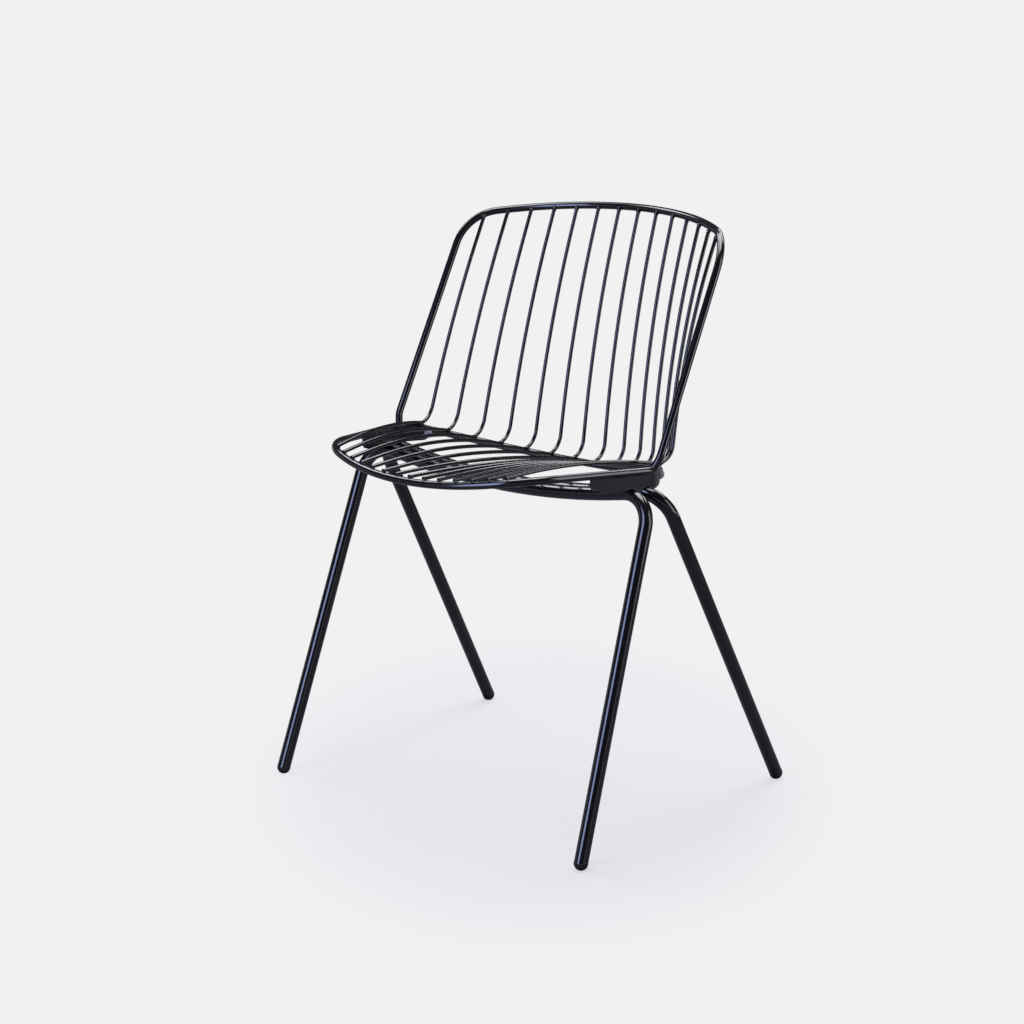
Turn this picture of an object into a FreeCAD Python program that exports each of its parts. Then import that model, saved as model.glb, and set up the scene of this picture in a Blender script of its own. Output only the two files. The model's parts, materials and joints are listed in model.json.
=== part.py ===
import FreeCAD, Part
import math
import os

# Low-backed dining chair of bent steel. Two tube frames, each an upside-down U, stand side by side under
# the seat and spread to four feet. Their cross runs lie in notches of two sheet brackets, which hang
# under a closed seat ring. A back rim stands on the ring, and fourteen wires run from the rim down the
# back, bend over the rear of the ring and run forward to its front. A soft clear bumper sits at the rear
# end of each bracket, where stacked chairs would touch.
# Front is -Y, +Z is up, right is +X, and the floor is at Z = 0. All lengths are millimetres.

SIZES = {
    # Stock
    "leg_tube_d": 16.9,
    "leg_tube_wall": 1.5,
    "rod_d": 9.4,
    "wire_d": 4.7,
    # How far a welded wire, rod or sheet is pressed into the rod that it crosses
    "weld_depth": 0.5,
    # Legs and cross runs. The frame's corner is where the lines of a leg and of its run would meet
    "front_feet_width": 499.3,
    "rear_feet_narrower": 3.0,
    "front_feet_y": -166.1,
    "rear_feet_y": 236.2,
    "frame_corner_width": 462.0,
    "frame_corner_below_seat": 27.1,
    "frame_run_y": -15.5,
    "frame_run_gap": 2.2,
    "frame_run_dip": 40.7,
    "frame_bend_r": 38.0,
    # Foot caps
    "cap_proud": 0.2,
    "cap_rim": 1.5,
    "cap_plug_length": 12.0,
    "cap_plug_clearance": 0.1,
    "cap_flat_depth": 0.8,
    # Seat ring. Each corner is where the lines of its two runs would meet
    "seat_height": 448.9,
    "ring_front_width": 326.2,
    "ring_front_y": -160.1,
    "ring_front_bulge": 60.0,
    "ring_front_dip": 26.3,
    "ring_front_bend_r": 78.0,
    "ring_side_width": 419.4,
    "ring_side_y": 15.5,
    "ring_side_drop": 9.0,
    "ring_rear_width": 402.7,
    "ring_rear_y": 34.0,
    "ring_rear_drop": 10.3,
    "ring_rear_bulge": 324.0,
    "ring_rear_dip": 116.5,
    "ring_side_bend_r": 35.0,
    # Back rim: the short foot that splays out from the ring, then the corners and the top
    "rim_foot_out": 5.9,
    "rim_foot_back": 6.5,
    "rim_foot_rise": 15.0,
    "rim_foot_bend_r": 25.0,
    "rim_corner_width": 421.4,
    "rim_corner_y": 152.2,
    "rim_corner_height": 255.7,
    "rim_top_bulge": 156.0,
    "rim_top_rise": 30.9,
    "rim_bend_r": 63.2,
    # Wires: how many on each side, their spacing along each rod, and their bends
    "wires_each_side": 7,
    "wire_pitch_top": 31.6,
    "wire_pitch_rear": 35.9,
    "wire_pitch_front": 22.0,
    "wire_bend_r": 24.5,
    "wire_wrap_angle": 29.0,
    "wire_front_overhang": 1.5,
    # How much further out an outermost wire crosses the rear of the ring, and how much less it wraps there
    "wire_edge_out": 5.0,
    "wire_edge_unwrap": 31.0,
    # How far in front of the rim's centre line a wire meets the rim
    "wire_top_forward": 4.0,
    # How far the corner of a long curve stands off the line between its ends
    "back_bow": 17.0,
    "seat_bow_edge": 13.8,
    "seat_bow_quarter": 25.1,
    # Bracket plates
    "plate_thickness": 3.0,
    "plate_front_y": -74.5,
    "plate_front_depth": 17.5,
    "plate_middle_y": -34.0,
    "plate_middle_depth": 23.4,
    "plate_rear_y": 52.0,
    "plate_rear_depth": 14.4,
    "plate_corner_r": 9.0,
    # Stacking bumpers
    "bumper_d": 13.0,
    "bumper_below_ring": 5.5,
}

# A long curve takes this share of the straight run that its neighbours leave
LONG_CURVE_SHARE = 0.98
# How fast the corrections of the outermost wires fade towards the middle ones
EDGE_FADE = 5
# Steps after which a wire's corners, which depend on one another, no longer move
SETTLE_STEPS = 6
# Two directions closer than this many radians count as one
STRAIGHT = 1e-6

doc = FreeCAD.newDocument("WireChair")
sheet = doc.addObject("Spreadsheet::Sheet", "Sizes")
for row, (alias, value) in enumerate(SIZES.items(), start=1):
    sheet.set(f"A{row}", alias)
    sheet.set(f"B{row}", str(value))
    sheet.setAlias(f"B{row}", alias)
doc.recompute()


def size(alias):
    """A driving size, read from the sheet."""
    return float(sheet.get(alias))


def point(x, y, z):
    return FreeCAD.Vector(x, y, z)


def mirrored(vector):
    """The same place or direction on the other side of the chair."""
    return point(-vector.x, vector.y, vector.z)


def point_itself(vector):
    return vector


def unit(vector):
    return vector * (1.0 / vector.Length)


def bent_path(corners, radii, closed=False):
    """The centre line of a bent rod: straight runs, and a tangent arc at each corner that has one.

    A radius of None is a long curve, as large as the runs beside it allow, and a radius of 0 is a sharp
    corner. The result is the list of edges in order and the arc at each corner.
    """
    count = len(corners)
    bends = list(range(count)) if closed else list(range(1, count - 1))
    before = {i: unit(corners[i] - corners[i - 1]) for i in bends}
    after = {i: unit(corners[(i + 1) % count] - corners[i]) for i in bends}
    turn = {i: max(before[i].getAngle(after[i]), STRAIGHT) for i in bends}
    run_before = {i: (corners[i] - corners[i - 1]).Length for i in bends}
    run_after = {i: (corners[(i + 1) % count] - corners[i]).Length for i in bends}

    reach = [0.0] * count
    for i in bends:
        if radii[i] is not None:
            reach[i] = min(radii[i] * math.tan(turn[i] / 2), run_before[i] / 2, run_after[i] / 2)
    for i in bends:
        if radii[i] is None:
            free = min(run_before[i] - reach[i - 1], run_after[i] - reach[(i + 1) % count])
            reach[i] = free * LONG_CURVE_SHARE

    edges = []
    arcs = {}
    last = corners[-1] + before[0] * reach[-1] if closed else corners[0]
    for i in bends:
        start = corners[i] - before[i] * reach[i]
        end = corners[i] + after[i] * reach[i]
        inward = unit(after[i] - before[i])
        middle = corners[i] + inward * (reach[i] * math.tan(turn[i] / 4))
        edges.append(Part.LineSegment(last, start).toShape())
        if reach[i] > 0:
            arcs[i] = Part.Arc(start, middle, end).toShape()
            edges.append(arcs[i])
        last = end
    if not closed:
        edges.append(Part.LineSegment(last, corners[-1]).toShape())
    return edges, arcs


def along(edges, distance):
    """The point and the direction of a path at a distance from its start."""
    for edge in edges:
        if distance <= edge.Length:
            place = edge.getParameterByLength(distance)
            return edge.valueAt(place), edge.tangentAt(place)
        distance -= edge.Length
    return edges[-1].valueAt(edges[-1].LastParameter), edges[-1].tangentAt(edges[-1].LastParameter)


def path_length(edges):
    return sum(edge.Length for edge in edges)


def swept_round(name, edges, radius_expression):
    """A round bar along a path, its radius bound to the sheet."""
    path = doc.addObject("Part::Feature", name + "_path")
    path.Shape = Part.Wire(edges)
    start, direction = along(edges, 0.0)
    profile = doc.addObject("Part::Circle", name + "_profile")
    profile.setExpression("Radius", radius_expression)
    profile.Placement = FreeCAD.Placement(start, FreeCAD.Rotation(point(0, 0, 1), direction))
    bar = doc.addObject("Part::Sweep", name + "_bar")
    bar.Sections = [profile]
    bar.Spine = (path, [f"Edge{number}" for number in range(1, len(edges) + 1)])
    bar.Solid = True
    return bar


def cut(name, base, tools):
    """One object less several others, taken off one after another."""
    result = base
    for number, tool in enumerate(tools, start=1):
        trimmed = doc.addObject("Part::Cut", f"{name}_cut{number}")
        trimmed.Base = result
        trimmed.Tool = tool
        result = trimmed
    return result


# Seat ring: a closed rod, low at the middle of its front, highest at its front corners and lowest at the
# middle of its rear. The path starts with the rear curve.
seat_height = size("seat_height")
rod_r = size("rod_d") / 2
wire_r = size("wire_d") / 2
tube_r = size("leg_tube_d") / 2
cap_r = tube_r + size("cap_proud")


def ring_path(middle_y):
    """The corners of the seat ring's right-hand half and its centre line, with Y counted from middle_y."""
    front = point(size("ring_front_width") / 2, size("ring_front_y") - middle_y, seat_height)
    side = point(size("ring_side_width") / 2, size("ring_side_y") - middle_y, seat_height)
    rear = point(size("ring_rear_width") / 2, size("ring_rear_y") - middle_y, seat_height)
    side.z -= size("ring_side_drop")
    rear.z -= size("ring_rear_drop")
    front_apex = point(0, front.y - size("ring_front_bulge"), front.z - size("ring_front_dip"))
    rear_apex = point(0, rear.y + size("ring_rear_bulge"), rear.z - size("ring_rear_dip"))
    left = [mirrored(rear), mirrored(side), mirrored(front)]
    side_r = size("ring_side_bend_r")
    front_r = size("ring_front_bend_r")
    corners = [rear_apex, *left, front_apex, front, side, rear]
    radii = [None, side_r, side_r, front_r, None, front_r, side_r, side_r]
    edges, arcs = bent_path(corners, radii, closed=True)
    return corners[4:] + corners[:1], edges, arcs


# Back rim: it stands on the ring at the bend in each side, leans back and closes over the top
def rim_path(middle_y, side_bend):
    foot, _ = along([side_bend], side_bend.Length / 2)
    ankle = foot + point(size("rim_foot_out"), size("rim_foot_back"), size("rim_foot_rise"))
    corner = point(
        size("rim_corner_width") / 2,
        size("rim_corner_y") - middle_y,
        seat_height + size("rim_corner_height"),
    )
    apex = point(0, corner.y + size("rim_top_bulge"), corner.z + size("rim_top_rise"))
    right = [corner, ankle, foot]
    left = [mirrored(place) for place in reversed(right)]
    corner_r = size("rim_bend_r")
    foot_r = size("rim_foot_bend_r")
    edges, _ = bent_path([*left, apex, *right], [None, foot_r, corner_r, None, corner_r, foot_r, None])
    return edges


# The origin lies under the middle of the box round the chair, which reaches from the front of the ring
# to the rear foot caps or to the back rim
_, uncentred_ring, uncentred_arcs = ring_path(0.0)
front_face = min(edge.BoundBox.YMin for edge in uncentred_ring) - rod_r
rim_face = max(edge.BoundBox.YMax for edge in rim_path(0.0, uncentred_arcs[6])) + rod_r
middle_y = (front_face + max(rim_face, size("rear_feet_y") + cap_r)) / 2

ring_half, ring_edges, ring_arcs = ring_path(middle_y)
ring_bar = swept_round("seat_ring", ring_edges, "Sizes.rod_d / 2")
ring_rear_middle = ring_edges[0].Length + ring_arcs[0].Length / 2
ring_front_middle = ring_rear_middle + path_length(ring_edges) / 2

rim_edges = rim_path(middle_y, ring_arcs[6])
rim_bar = swept_round("back_rim", rim_edges, "Sizes.rod_d / 2")
rim_middle = path_length(rim_edges) / 2
back_rim = cut("back_rim", rim_bar, [ring_bar])


# Wires
rod_to_wire = rod_r + wire_r - size("weld_depth")
wires_each_side = round(size("wires_each_side"))


def wire_corners(number):
    """The five corners of a wire of the right-hand side, counted outwards from the middle from 0.

    They are its top end on the rim, the bow of its back, the bend over the rear of the ring, the bow of
    its seat and its front end on the ring.
    """
    steps = number + 0.5
    outward = steps / wires_each_side
    top, _ = along(rim_edges, rim_middle + steps * size("wire_pitch_top"))
    top.y -= size("wire_top_forward")
    edge = outward**EDGE_FADE
    rear_step = steps * size("wire_pitch_rear") + edge * size("wire_edge_out")
    rear_rod, rear_way = along(ring_edges, (ring_rear_middle - rear_step) % path_length(ring_edges))
    front_rod, front_way = along(ring_edges, ring_front_middle + steps * size("wire_pitch_front"))
    seat_swell = size("seat_bow_quarter") - size("seat_bow_edge")
    seat_bow = size("seat_bow_edge") + seat_swell * math.sin(math.pi * outward)
    bend_r = size("wire_bend_r")
    wrap = math.radians(size("wire_wrap_angle") - edge * size("wire_edge_unwrap"))

    bend = rear_rod
    front = front_rod
    for _ in range(SETTLE_STEPS):
        back_line = unit(top - bend)
        seat_line = unit(front - bend)
        # The bows stand off in the plane of the wire, square to each line
        back_bulge = unit(seat_line - back_line * seat_line.dot(back_line))
        seat_bulge = unit(back_line - seat_line * back_line.dot(seat_line))
        back = (top + bend) * 0.5 + back_bulge * size("back_bow")
        seat = (front + bend) * 0.5 + seat_bulge * seat_bow
        # Where the bend touches the rear rod, the wire is square to the line between their centres
        rise = unit(back - bend)
        forward = unit(seat - bend)
        inner = unit(rise - forward * rise.dot(forward))
        way = forward * math.cos(wrap) - inner * math.sin(wrap)
        to_centre = inner * math.cos(wrap) + forward * math.sin(wrap)
        across = unit(rear_way.cross(way))
        contact = rear_rod + across * math.copysign(rod_to_wire, across.z)
        centre = contact + to_centre * bend_r
        half_turn = (math.pi - rise.getAngle(forward)) / 2
        bend = centre - unit(rise + forward) * (bend_r / math.cos(half_turn))
        # The front end lies on top of the ring and stops a little past it
        end_way = unit(front - seat)
        above = unit(front_way.cross(end_way))
        front = front_rod + above * math.copysign(rod_to_wire, above.z)
        front = front + end_way * size("wire_front_overhang")
    return [top, back, bend, seat, front]


wire_radii = [None, None, size("wire_bend_r"), None, None]
wires = {}
for number in range(wires_each_side):
    right_corners = wire_corners(number)
    left_corners = [mirrored(corner) for corner in right_corners]
    left_name = f"wire_{wires_each_side - number:02d}"
    right_name = f"wire_{wires_each_side + 1 + number:02d}"
    for name, corners in ((left_name, left_corners), (right_name, right_corners)):
        edges, _ = bent_path(corners, wire_radii)
        bar = swept_round(name, edges, "Sizes.wire_d / 2")
        wires[name] = cut(name, bar, [rim_bar, ring_bar])


# Leg frames: two legs and the cross run between them, bent from one tube
def leg_frame(name, feet_width, feet_y, run_y):
    """The frame as a solid bar and as the tube itself, and its right-hand foot and leg direction.

    The foot is the centre of its cap's dome, and the tube stops a cap's rim above it.
    """
    corner_z = seat_height - size("frame_corner_below_seat")
    foot = point(feet_width / 2, feet_y - middle_y, cap_r - size("cap_flat_depth"))
    corner = point(size("frame_corner_width") / 2, run_y - middle_y, corner_z)
    apex = point(0, corner.y, corner.z - size("frame_run_dip"))
    leg = unit(corner - foot)
    tube_end = foot + leg * size("cap_rim")
    bend_r = size("frame_bend_r")
    corners = [mirrored(tube_end), mirrored(corner), apex, corner, tube_end]
    edges, _ = bent_path(corners, [None, bend_r, None, bend_r, None])
    outside = swept_round(name + "_outside", edges, "Sizes.leg_tube_d / 2")
    inside = swept_round(name + "_inside", edges, "Sizes.leg_tube_d / 2 - Sizes.leg_tube_wall")
    return outside, cut(name, outside, [inside]), foot, leg


front_run_y = size("frame_run_y")
rear_run_y = front_run_y + size("leg_tube_d") + size("frame_run_gap")
front_feet_width = size("front_feet_width")
rear_feet_width = front_feet_width - size("rear_feet_narrower")
front_outside, front_frame, front_foot, front_leg = leg_frame(
    "front_leg_frame", front_feet_width, size("front_feet_y"), front_run_y)
rear_outside, rear_frame, rear_foot, rear_leg = leg_frame(
    "rear_leg_frame", rear_feet_width, size("rear_feet_y"), rear_run_y)


# Foot caps: a dome that closes the end of each tube, flat where it meets the floor, on a plug inside it
def round_bar(name, foot, leg, radius_expression, height_expression):
    bar = doc.addObject("Part::Cylinder", name)
    bar.setExpression("Radius", radius_expression)
    bar.setExpression("Height", height_expression)
    bar.Placement = FreeCAD.Placement(foot, FreeCAD.Rotation(point(0, 0, 1), leg))
    return bar


def foot_cap(name, foot, leg, outside):
    cap_radius = "Sizes.leg_tube_d / 2 + Sizes.cap_proud"
    dome = doc.addObject("Part::Sphere", name + "_dome")
    dome.setExpression("Radius", cap_radius)
    dome.Placement.Base = foot
    rim = round_bar(name + "_rim", foot, leg, cap_radius, "Sizes.cap_rim")
    head = doc.addObject("Part::Fuse", name + "_head")
    head.Base = dome
    head.Tool = rim

    ground = doc.addObject("Part::Box", name + "_ground")
    for side in ("Length", "Width", "Height"):
        ground.setExpression(side, "Sizes.leg_tube_d * 2")
    across = size("leg_tube_d")
    ground.Placement.Base = point(foot.x - across, foot.y - across, -2 * across)

    plug_radius = "Sizes.leg_tube_d / 2 - Sizes.leg_tube_wall - Sizes.cap_plug_clearance"
    cap = doc.addObject("Part::Fuse", name + "_cap")
    cap.Base = cut(name, head, [ground, outside])
    cap.Tool = round_bar(name + "_plug", foot, leg, plug_radius, "Sizes.cap_rim + Sizes.cap_plug_length")
    return cap


caps = {}
for end, foot, leg, outside in (
    ("front", front_foot, front_leg, front_outside),
    ("rear", rear_foot, rear_leg, rear_outside),
):
    left_name = f"foot_cap_{end}_left"
    right_name = f"foot_cap_{end}_right"
    caps[left_name] = foot_cap(left_name, mirrored(foot), mirrored(leg), outside)
    caps[right_name] = foot_cap(right_name, foot, leg, outside)


# Bracket plates: upright sheets that follow the sides of the ring from below and saddle both cross runs
def bracket_plate(name, flip):
    """The plate on one side and the middle of its rear end, where it meets the ring's centre line.

    It is a wall under the ring, trimmed to its outline as seen from the side.
    """
    _, ring_front, ring_side, ring_rear, rear_apex = ring_half
    front_way = unit(ring_side - ring_front)
    rear_way = unit(rear_apex - ring_rear)
    front = ring_side + front_way * ((size("plate_front_y") - size("ring_side_y")) / front_way.y)
    rear = ring_rear + rear_way * ((size("plate_rear_y") - size("ring_rear_y")) / rear_way.y)
    top = [front, ring_side, ring_rear, rear]

    plan = [flip(point(corner.x, corner.y, 0)) for corner in top]
    side_r = size("ring_side_bend_r")
    plan_edges, _ = bent_path(plan, [None, side_r, side_r, None])
    start, way = along(plan_edges, 0.0)
    across = point(0, 0, 1).cross(way)
    path = doc.addObject("Part::Feature", name + "_path")
    path.Shape = Part.Wire(plan_edges)
    strip = doc.addObject("Part::Plane", name + "_strip")
    strip.setExpression("Length", "Sizes.plate_thickness")
    strip.setExpression("Width", "Sizes.seat_height")
    corner = start - across * (size("plate_thickness") / 2)
    strip.Placement = FreeCAD.Placement(corner, FreeCAD.Rotation(across, point(0, 0, 1), way))
    wall = doc.addObject("Part::Sweep", name + "_wall")
    wall.Sections = [strip]
    wall.Spine = (path, [f"Edge{number}" for number in range(1, len(plan_edges) + 1)])
    wall.Solid = True

    outline_corners = [
        *[point(0, corner.y, corner.z) for corner in top],
        point(0, rear.y, rear.z - size("plate_rear_depth")),
        point(0, size("plate_middle_y") - middle_y, ring_side.z - size("plate_middle_depth")),
        point(0, front.y, front.z - size("plate_front_depth")),
    ]
    round_r = size("plate_corner_r")
    outline_edges, _ = bent_path(outline_corners, [0, 0, 0, 0, *[round_r] * 3], closed=True)
    outline = doc.addObject("Part::Feature", name + "_outline")
    outline.Shape = Part.Face(Part.Wire(outline_edges))
    slab = doc.addObject("Part::Extrusion", name + "_slab")
    slab.Base = outline
    slab.Dir = point(1, 0, 0)
    slab.setExpression("LengthFwd", "Sizes.ring_side_width")
    slab.Symmetric = True
    slab.Solid = True

    plate = doc.addObject("Part::Common", name + "_plate")
    plate.Base = wall
    plate.Tool = slab
    return cut(name, plate, [ring_bar, front_outside, rear_outside]), flip(rear)


def bumper(name, plate, plate_end):
    """A soft ball, slit for the plate's rear end and hollowed for the ring."""
    ball = doc.addObject("Part::Sphere", name + "_ball")
    ball.setExpression("Radius", "Sizes.bumper_d / 2")
    ball.Placement.Base = plate_end - point(0, 0, size("bumper_below_ring"))
    return cut(name, ball, [ring_bar, plate])


plates = {}
bumpers = {}
for side, flip in (("left", mirrored), ("right", point_itself)):
    plate_name = f"bracket_plate_{side}"
    bumper_name = f"bumper_{side}"
    plates[plate_name], plate_end = bracket_plate(plate_name, flip)
    bumpers[bumper_name] = bumper(bumper_name, plates[plate_name], plate_end)


doc.recompute()

pieces = {
    "seat_ring": ring_bar,
    "back_rim": back_rim,
    **wires,
    "front_leg_frame": front_frame,
    "rear_leg_frame": rear_frame,
    **caps,
    **plates,
    **bumpers,
}
for name, piece in pieces.items():
    piece.Label = name

for item in doc.Objects:
    if "Invalid" in item.State or "Error" in item.State:
        raise RuntimeError(f"{item.Label} could not be built")
for name, piece in pieces.items():
    if piece.Shape.isNull() or not piece.Shape.isValid():
        raise RuntimeError(f"{name} has no valid shape")

os.makedirs("parts", exist_ok=True)
for name, piece in pieces.items():
    piece.Shape.exportStep(f"parts/{name}.step")
    print(f"{name}: {piece.Shape.Volume / 1000:.1f} cm3")
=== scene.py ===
import json
import math

import bmesh
import bpy
from mathutils import Matrix, Vector, noise


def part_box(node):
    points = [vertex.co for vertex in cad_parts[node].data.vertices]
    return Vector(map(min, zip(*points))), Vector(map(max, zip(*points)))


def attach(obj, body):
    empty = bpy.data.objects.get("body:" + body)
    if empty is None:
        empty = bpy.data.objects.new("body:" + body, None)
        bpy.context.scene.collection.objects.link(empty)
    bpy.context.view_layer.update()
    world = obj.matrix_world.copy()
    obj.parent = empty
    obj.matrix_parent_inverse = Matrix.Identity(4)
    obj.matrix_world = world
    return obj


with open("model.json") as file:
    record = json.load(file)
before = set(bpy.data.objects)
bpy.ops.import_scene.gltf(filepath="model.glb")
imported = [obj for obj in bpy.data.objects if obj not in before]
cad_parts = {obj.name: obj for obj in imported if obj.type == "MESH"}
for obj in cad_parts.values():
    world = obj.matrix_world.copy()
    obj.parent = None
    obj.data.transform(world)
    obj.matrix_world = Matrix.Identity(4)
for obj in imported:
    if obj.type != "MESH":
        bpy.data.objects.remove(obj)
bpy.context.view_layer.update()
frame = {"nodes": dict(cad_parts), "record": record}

# A black powder-coated wire chair on a pale studio floor. Metres, +Z up, the chair faces -Y.

MM = 0.001


# Camera, at the photograph's viewing angle
PICTURE_PX = 1024
FOCAL_PX = 2243.68
SENSOR_MM = 36.0
CAMERA_AZIMUTH = math.radians(40.7864)
CAMERA_ELEVATION = math.radians(13.5322)
CAMERA_DISTANCE = 2810.07 * MM
CAMERA_SIGHT = 100.0
AIM = Vector((0.168, -21.488, 358.887)) * MM


def view_back(azimuth, elevation):
    """The direction from the chair to an eye at that azimuth and elevation."""
    level = math.cos(elevation)
    return Vector((math.sin(azimuth) * level, -math.cos(azimuth) * level, math.sin(elevation)))


def facing(back):
    """The rotation of a camera or lamp that looks along -back with its top upwards."""
    return back.to_track_quat("Z", "Y").to_euler()


def add_camera():
    back = view_back(CAMERA_AZIMUTH, CAMERA_ELEVATION)
    data = bpy.data.cameras.new("camera")
    data.sensor_width = SENSOR_MM
    data.lens = FOCAL_PX / PICTURE_PX * SENSOR_MM
    data.clip_end = CAMERA_SIGHT
    camera = bpy.data.objects.new("camera", data)
    camera.location = AIM + back * CAMERA_DISTANCE
    camera.rotation_euler = facing(back)
    bpy.context.collection.objects.link(camera)
    bpy.context.scene.camera = camera


# Shader expressions
# The sockets that a mix node uses for colours
MIX_FIRST = 6
MIX_SECOND = 7
MIX_RESULT = 2


class Sock:
    """A shader socket that takes part in Python arithmetic. Each operation adds a Math node."""

    def __init__(self, nodes, socket):
        self.nodes = nodes
        self.socket = socket

    def maths(self, operation, *values):
        return self.nodes.add("ShaderNodeMath", {"operation": operation}, *values)

    def __add__(self, other):
        return self.maths("ADD", self, other)

    __radd__ = __add__

    def __sub__(self, other):
        return self.maths("SUBTRACT", self, other)

    def __rsub__(self, other):
        return self.maths("SUBTRACT", other, self)

    def __mul__(self, other):
        return self.maths("MULTIPLY", self, other)

    __rmul__ = __mul__

    def __truediv__(self, other):
        return self.maths("DIVIDE", self, other)

    def clamped(self):
        return self.nodes.add("ShaderNodeClamp", {}, self)


class Nodes:
    """One material's or world's node tree."""

    def __init__(self, owner):
        owner.use_nodes = True
        self.tree = owner.node_tree
        self.tree.nodes.clear()

    def add(self, kind, settings=None, *inputs, out=0, places=None, **named):
        """Adds a node and returns one of its outputs, if it has any.

        The settings come first, then the sockets by order, by place and by name.
        """
        node = self.tree.nodes.new(kind)
        for key, value in (settings or {}).items():
            setattr(node, key, value)
        pairs = list(enumerate(inputs)) + list((places or {}).items())
        pairs += [(name.replace("_", " "), value) for name, value in named.items()]
        for key, value in pairs:
            if isinstance(value, Sock):
                self.tree.links.new(value.socket, node.inputs[key])
            else:
                node.inputs[key].default_value = value
        return Sock(self, node.outputs[out]) if node.outputs else None

    def mixed(self, share, first, second):
        """A colour between two, by share."""
        colours = {MIX_FIRST: first, MIX_SECOND: second}
        return self.add("ShaderNodeMix", {"data_type": "RGBA"}, share, places=colours, out=MIX_RESULT)

    def finish(self, surface, kind="ShaderNodeOutputMaterial"):
        self.add(kind, {}, surface)


def eased(share):
    """The same share from 0 to 1, with a gentle start and end."""
    return share * share * (3.0 - 2.0 * share)


def opaque(colour, level=1.0):
    """A colour times a level, not see-through."""
    return tuple(level * part for part in colour) + (1.0,)


def grey(level):
    return (level, level, level, 1.0)


# Materials
NOISE_MIDDLE = 0.5

# Powder coat: fine orange peel, and slow drift in colour and gloss from patch to patch
PEEL_DEPTH = 0.05 * MM
PEEL_GLOSS = 0.04
DRIFT_SCALE = 14.0
DRIFT_COLOUR = 0.2
DRIFT_GLOSS = 0.08

BLACK = (0.0030, 0.0027, 0.0042)
PLATE_BLACK = (0.009, 0.008, 0.011)
CAP_BLACK = (0.004, 0.004, 0.005)
COATS = {
    "wire_coat": {"colour": BLACK, "roughness": 0.2, "grain": 0.5 * MM, "bump": 0.2},
    "rod_coat": {"colour": BLACK, "roughness": 0.18, "grain": 0.6 * MM, "bump": 0.22},
    "tube_coat": {"colour": BLACK, "roughness": 0.17, "grain": 0.7 * MM, "bump": 0.22},
    "plate_coat": {"colour": PLATE_BLACK, "roughness": 0.3, "grain": 0.6 * MM, "bump": 0.3},
    "cap_plastic": {"colour": CAP_BLACK, "roughness": 0.16, "grain": 0.35 * MM, "bump": 0.12},
}

# Clear plastic: clouds inside it and fine scuffs
CLOUD_SCALE = 320.0
CLOUD_DEPTH = 0.2 * MM
CLOUD_DARK = (0.50, 0.49, 0.57)
CLOUD_PALE = (0.72, 0.72, 0.78)
SCUFF_SCALE = 1400.0
SCUFF_GLOSS = 0.2
CLEAR_ROUGHNESS = 0.28


def powder_coat(name, colour, roughness, grain, bump):
    """Black powder coat or moulded plastic with a soft gloss, fine orange peel and a slow drift."""
    material = bpy.data.materials.new(name)
    nodes = Nodes(material)
    place = nodes.add("ShaderNodeTexCoord", out="Object")
    peel = nodes.add("ShaderNodeTexNoise", {}, place, Scale=1 / grain, Detail=2.0, Roughness=0.5)
    drift = nodes.add("ShaderNodeTexNoise", {}, place, Scale=DRIFT_SCALE, Detail=3.0, Roughness=0.55)
    dull = opaque(colour, 1.0 - DRIFT_COLOUR)
    lively = opaque(colour, 1.0 + DRIFT_COLOUR)
    drift_gloss = (drift - NOISE_MIDDLE) * DRIFT_GLOSS
    peel_gloss = (peel - NOISE_MIDDLE) * PEEL_GLOSS
    shader = nodes.add(
        "ShaderNodeBsdfPrincipled",
        {},
        Base_Color=nodes.mixed(drift, dull, lively),
        Roughness=roughness + drift_gloss + peel_gloss,
        IOR=1.6,
        Coat_Weight=0.6,
        Coat_Roughness=0.12,
        Normal=nodes.add("ShaderNodeBump", {}, Strength=bump, Distance=PEEL_DEPTH, Height=peel),
    )
    nodes.finish(shader)
    return material


def clear_plastic(name):
    """Clouded clear soft plastic, a little scuffed."""
    material = bpy.data.materials.new(name)
    nodes = Nodes(material)
    place = nodes.add("ShaderNodeTexCoord", out="Object")
    cloud = nodes.add("ShaderNodeTexNoise", {}, place, Scale=CLOUD_SCALE, Detail=3.0, Roughness=0.6)
    scuff = nodes.add("ShaderNodeTexNoise", {}, place, Scale=SCUFF_SCALE, Detail=2.0, Roughness=0.5)
    shader = nodes.add(
        "ShaderNodeBsdfPrincipled",
        {},
        Base_Color=nodes.mixed(cloud, opaque(CLOUD_DARK), opaque(CLOUD_PALE)),
        Roughness=CLEAR_ROUGHNESS + (scuff - NOISE_MIDDLE) * SCUFF_GLOSS,
        IOR=1.49,
        Transmission_Weight=0.25,
        Normal=nodes.add("ShaderNodeBump", {}, Strength=0.3, Distance=CLOUD_DEPTH, Height=cloud),
    )
    nodes.finish(shader)
    return material


def make_finishes():
    """The material for each of the record's material slots."""
    finishes = {name: powder_coat(name, **coat) for name, coat in COATS.items()}
    finishes["clear_plastic"] = clear_plastic("clear_plastic")
    return finishes


def paint_nodes(finishes):
    for part in frame["record"]["subparts"]:
        data = frame["nodes"][part["node"]].data
        data.materials.clear()
        data.materials.append(finishes[part["material_slot"]])


# Studio
BACKDROP = grey(0.8796)
ROOM = (0.045, 0.043, 0.055, 1.0)
# How high above the horizon the backdrop fades out of a glossy surface
HORIZON = 0.08

FLOOR_RADIUS = 9.0
FLOOR_SIDES = 96
# The lit paper as the camera sees it, and the paper much darker to all other rays, a painted shade so that
# the black coat mirrors a dim studio floor
PAPER_SEEN = grey(0.80)
PAPER_PAINTED_DIM = (0.17, 0.165, 0.19, 1.0)
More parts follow.
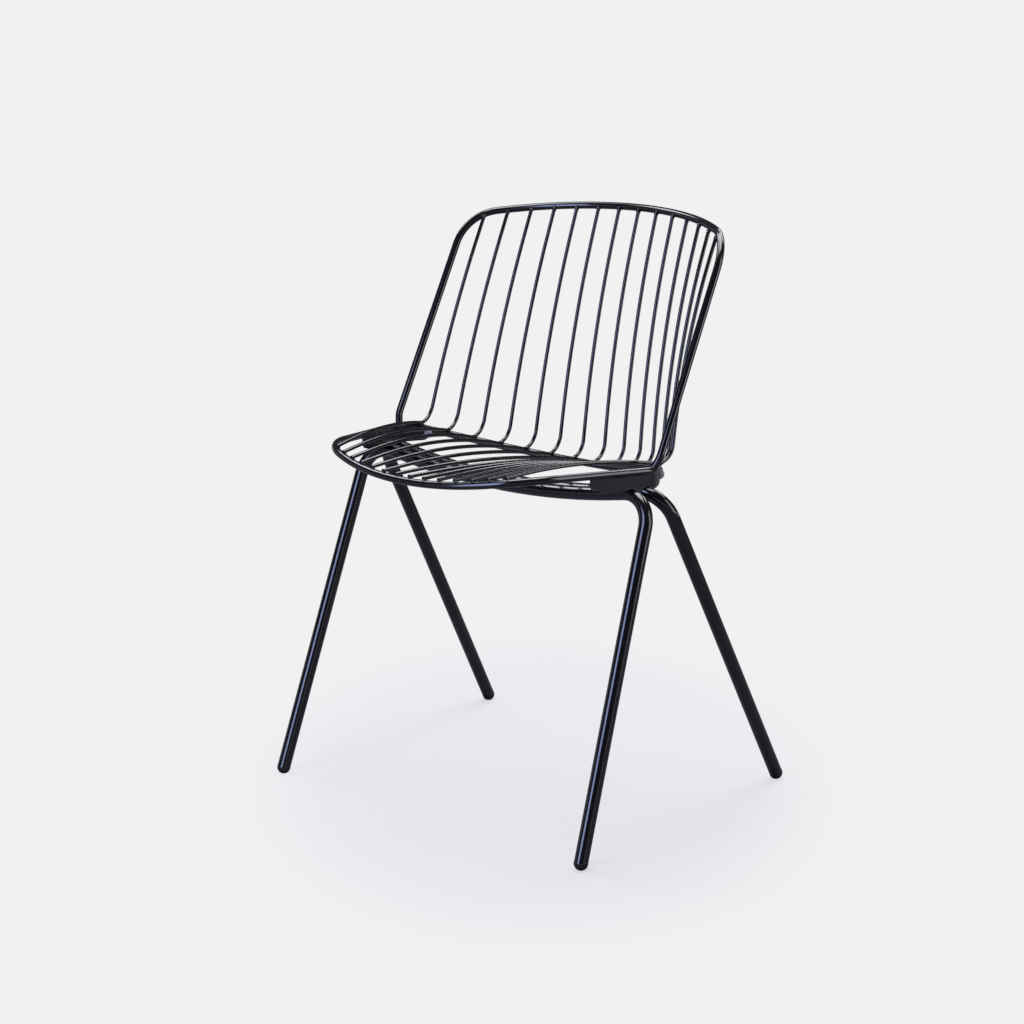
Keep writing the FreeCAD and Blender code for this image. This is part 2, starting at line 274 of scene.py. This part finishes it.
# The floor's glow is darker in an oval patch round the feet, a painted shade round the chair, and some of the
# lit paper shows there
PATCH_PAINTED_SHADE = (0.828, 0.835, 0.855, 1.0)
PATCH_MIDDLE = (-0.02, 0.06, 0.0)
PATCH_REACH = (0.43, 0.66, 1.0)
PATCH_EDGE = 0.42
PATCH_SHADE = 0.26

# Watts for each square metre of a lamp, at a brightness of 1
LAMP_POWER = 4
COOL_BLUE = (0.50, 0.57, 1.0)
PALE_BLUE = (0.88, 0.90, 1.0)
PALE_SKY = (0.90, 0.90, 1.0)
NEAR_WHITE = (0.95, 0.95, 1.0)
WHITE = (1.0, 1.0, 1.0)
LAMPS = {
    "overhead": {
        "azimuth": 220.8,
        "elevation": 80.0,
        "distance": 2.4,
        "size": (1.7, 1.7),
        "brightness": 4.2,
        "colour": WHITE,
    },
    "left": {
        "azimuth": -4.0,
        "elevation": 20.0,
        "distance": 2.6,
        "size": (1.2, 2.0),
        "brightness": 4.4,
        "colour": COOL_BLUE,
    },
    "right": {
        "azimuth": 112.0,
        "elevation": 18.0,
        "distance": 3.2,
        "size": (1.2, 2.4),
        "brightness": 1.9,
        "colour": PALE_BLUE,
    },
    "behind": {
        "azimuth": 180.0,
        "elevation": 44.0,
        "distance": 2.6,
        "size": (1.7, 0.6),
        "brightness": 4.0,
        "colour": NEAR_WHITE,
    },
    "high_left": {
        "azimuth": 270.0,
        "elevation": 46.0,
        "distance": 2.6,
        "size": (1.1, 0.7),
        "brightness": 4.5,
        "colour": PALE_SKY,
    },
}


def add_floor():
    """A wide disc of pale paper."""
    mesh = bpy.data.meshes.new("floor")
    turns = [2 * math.pi * step / FLOOR_SIDES for step in range(FLOOR_SIDES)]
    corners = [(FLOOR_RADIUS * math.cos(turn), FLOOR_RADIUS * math.sin(turn), 0.0) for turn in turns]
    mesh.from_pydata(corners, [], [list(range(FLOOR_SIDES))])
    floor = bpy.data.objects.new("floor", mesh)
    bpy.context.collection.objects.link(floor)

    material = bpy.data.materials.new("floor_paper")
    nodes = Nodes(material)
    place = nodes.add("ShaderNodeTexCoord", out="Object")
    along = nodes.add(
        "ShaderNodeMapping",
        {"vector_type": "TEXTURE"},
        place,
        PATCH_MIDDLE,
        (0.0, 0.0, CAMERA_AZIMUTH),
        PATCH_REACH,
    )
    distance = nodes.add("ShaderNodeVectorMath", {"operation": "LENGTH"}, along, out="Value")
    patch = eased(((1.0 - distance) / PATCH_EDGE).clamped())
    seen = nodes.add("ShaderNodeLightPath", out="Is Camera Ray")
    # All but the camera see the paper darkened, painted shade of a dim floor
    paper = nodes.add("ShaderNodeBsdfDiffuse", {}, Color=nodes.mixed(seen, PAPER_PAINTED_DIM, PAPER_SEEN))
    # The glow is the even backdrop white, darker in the patch as painted shade round the feet
    glow = nodes.add("ShaderNodeEmission", {}, Color=nodes.mixed(patch, BACKDROP, PATCH_PAINTED_SHADE), Strength=1.0)
    nodes.finish(nodes.add("ShaderNodeMixShader", {}, seen * (1.0 - patch * PATCH_SHADE), paper, glow))
    mesh.materials.append(material)


def add_world():
    """A dark room. The pale backdrop shows to the camera, through plastic, and low down in a gloss."""
    world = bpy.data.worlds.new("studio")
    bpy.context.scene.world = world
    nodes = Nodes(world)
    way = nodes.add("ShaderNodeTexCoord", out="Generated")
    height = nodes.add("ShaderNodeSeparateXYZ", {}, way, out="Z")
    low = ((HORIZON - height) / HORIZON).clamped()
    camera = nodes.add("ShaderNodeLightPath", out="Is Camera Ray")
    glossy = nodes.add("ShaderNodeLightPath", out="Is Glossy Ray")
    through = nodes.add("ShaderNodeLightPath", out="Is Transmission Ray")
    seen = (camera + through + glossy * low).clamped()
    room = nodes.add("ShaderNodeBackground", {}, Color=ROOM, Strength=1.0)
    backdrop = nodes.add("ShaderNodeBackground", {}, Color=BACKDROP, Strength=1.0)
    nodes.finish(nodes.add("ShaderNodeMixShader", {}, seen, room, backdrop), "ShaderNodeOutputWorld")


def add_softbox(name, azimuth, elevation, distance, size, brightness, colour):
    """A lamp that faces the chair from that azimuth and elevation, both in degrees."""
    back = view_back(math.radians(azimuth), math.radians(elevation))
    data = bpy.data.lights.new(name, "AREA")
    data.shape = "RECTANGLE"
    data.size, data.size_y = size
    data.energy = brightness * LAMP_POWER * size[0] * size[1]
    data.color = colour
    lamp = bpy.data.objects.new(name, data)
    lamp.location = AIM + back * distance
    lamp.rotation_euler = facing(back)
    bpy.context.collection.objects.link(lamp)


def add_lights():
    for name, lamp in LAMPS.items():
        add_softbox(name, **lamp)


# Welds
WIRES = [part["node"] for part in frame["record"]["subparts"] if part["node"].startswith("wire_")]
FORWARD = Vector((0.0, -1.0, 0.0))
BACKWARD = Vector((0.0, 1.0, 0.0))
UP = Vector((0.0, 0.0, 1.0))

# A bead's half sizes across the wire, along it and out from it
RIM_BEAD = (2.9 * MM, 4.0 * MM, 2.8 * MM)
RING_BEAD = (2.8 * MM, 3.2 * MM, 1.5 * MM)
BEAD_SPLITS = 3
LUMP_SCALE = 1.7
LUMP_HEIGHT = 0.16
STEP_TURNS = 9.0
STEP_HEIGHT = 0.05
# The beads on the ring differ from the one at the top of the same wire by this much in their seed
RING_SEED = 20.0

# A wire's line is read at two depths below its top end, and its bead lies this far on from the upper one
LINE_UPPER = 9 * MM
LINE_LOWER = 15 * MM
BEAD_AHEAD = 4.5 * MM
# A wire touches the ring where its surface comes this near, and only well below its top end
CONTACT = 0.05 * MM
BACK_DEPTH = 100 * MM


def crossings(node, height):
    """Where the edges of a node's mesh cross the level plane at that height."""
    mesh = frame["nodes"][node].data
    found = []
    for edge in mesh.edges:
        first, second = (mesh.vertices[index].co for index in edge.vertices)
        before, after = first.z - height, second.z - height
        if before * after < 0:
            found.append(first.lerp(second, before / (before - after)))
    return found


def touching(node, other, limit):
    """The points of one node's mesh that lie on the other's surface."""
    target = frame["nodes"][other]
    places = []
    for vert in frame["nodes"][node].data.vertices:
        if target.closest_point_on_mesh(vert.co, distance=limit)[0]:
            places.append(vert.co.copy())
    return places


def middle(places):
    return sum(places, Vector()) / len(places)


def frame_along(way, over):
    """The matrix whose Y axis runs along way and whose Z axis is as near as it can be to over."""
    side = way.cross(over).normalized()
    return Matrix((side, way.normalized(), side.cross(way).normalized())).transposed()


def add_bead(bm, place, way, over, reach, seed):
    """One lump of weld metal, drawn out along way, with the small steps that a welder's hand leaves."""
    turn = frame_along(way, over)
    start = len(bm.verts)
    bmesh.ops.create_icosphere(bm, subdivisions=BEAD_SPLITS, radius=1.0)
    bm.verts.ensure_lookup_table()
    for vert in bm.verts[start:]:
        co = vert.co.copy()
        swell = 1.0 + LUMP_HEIGHT * noise.noise(co * LUMP_SCALE + Vector((seed, 0.0, 0.0)))
        swell += STEP_HEIGHT * math.cos(STEP_TURNS * co.y + seed)
        vert.co = place + turn @ Vector((co.x * reach[0], co.y * reach[1], co.z * reach[2])) * swell


def finish_welds(name, bm, finishes, slot):
    """Makes one piece of a row of beads."""
    mesh = bpy.data.meshes.new(name)
    for face in bm.faces:
        face.smooth = True
    bm.to_mesh(mesh)
    bm.free()
    mesh.materials.append(finishes[slot])
    piece = bpy.data.objects.new(name, mesh)
    bpy.context.collection.objects.link(piece)
    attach(piece, "root")


def add_wire_welds(finishes):
    """A bead where each wire meets the rim, and where it crosses the rear and the front of the ring."""
    top = bmesh.new()
    rear = bmesh.new()
    front = bmesh.new()
    for number, node in enumerate(WIRES):
        _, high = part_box(node)
        upper = middle(crossings(node, high[2] - LINE_UPPER))
        lower = middle(crossings(node, high[2] - LINE_LOWER))
        way = (upper - lower).normalized()
        add_bead(top, upper + way * BEAD_AHEAD, way, FORWARD, RIM_BEAD, number)

        marks = [place for place in touching(node, "seat_ring", CONTACT) if place.z < high[2] - BACK_DEPTH]
        split = sum(place.y for place in marks) / len(marks)
        rear_spot = middle([place for place in marks if place.y > split])
        front_spot = middle([place for place in marks if place.y <= split])
        add_bead(rear, rear_spot, BACKWARD, UP, RING_BEAD, number + RING_SEED)
        add_bead(front, front_spot, BACKWARD, UP, RING_BEAD, number + RING_SEED)
    finish_welds("welds_rim_top", top, finishes, "wire_coat")
    finish_welds("welds_ring_rear", rear, finishes, "wire_coat")
    finish_welds("welds_ring_front", front, finishes, "wire_coat")


add_camera()
add_world()
add_floor()
add_lights()
finishes = make_finishes()
paint_nodes(finishes)
add_wire_welds(finishes)

bpy.context.scene.view_settings.view_transform = "Standard"
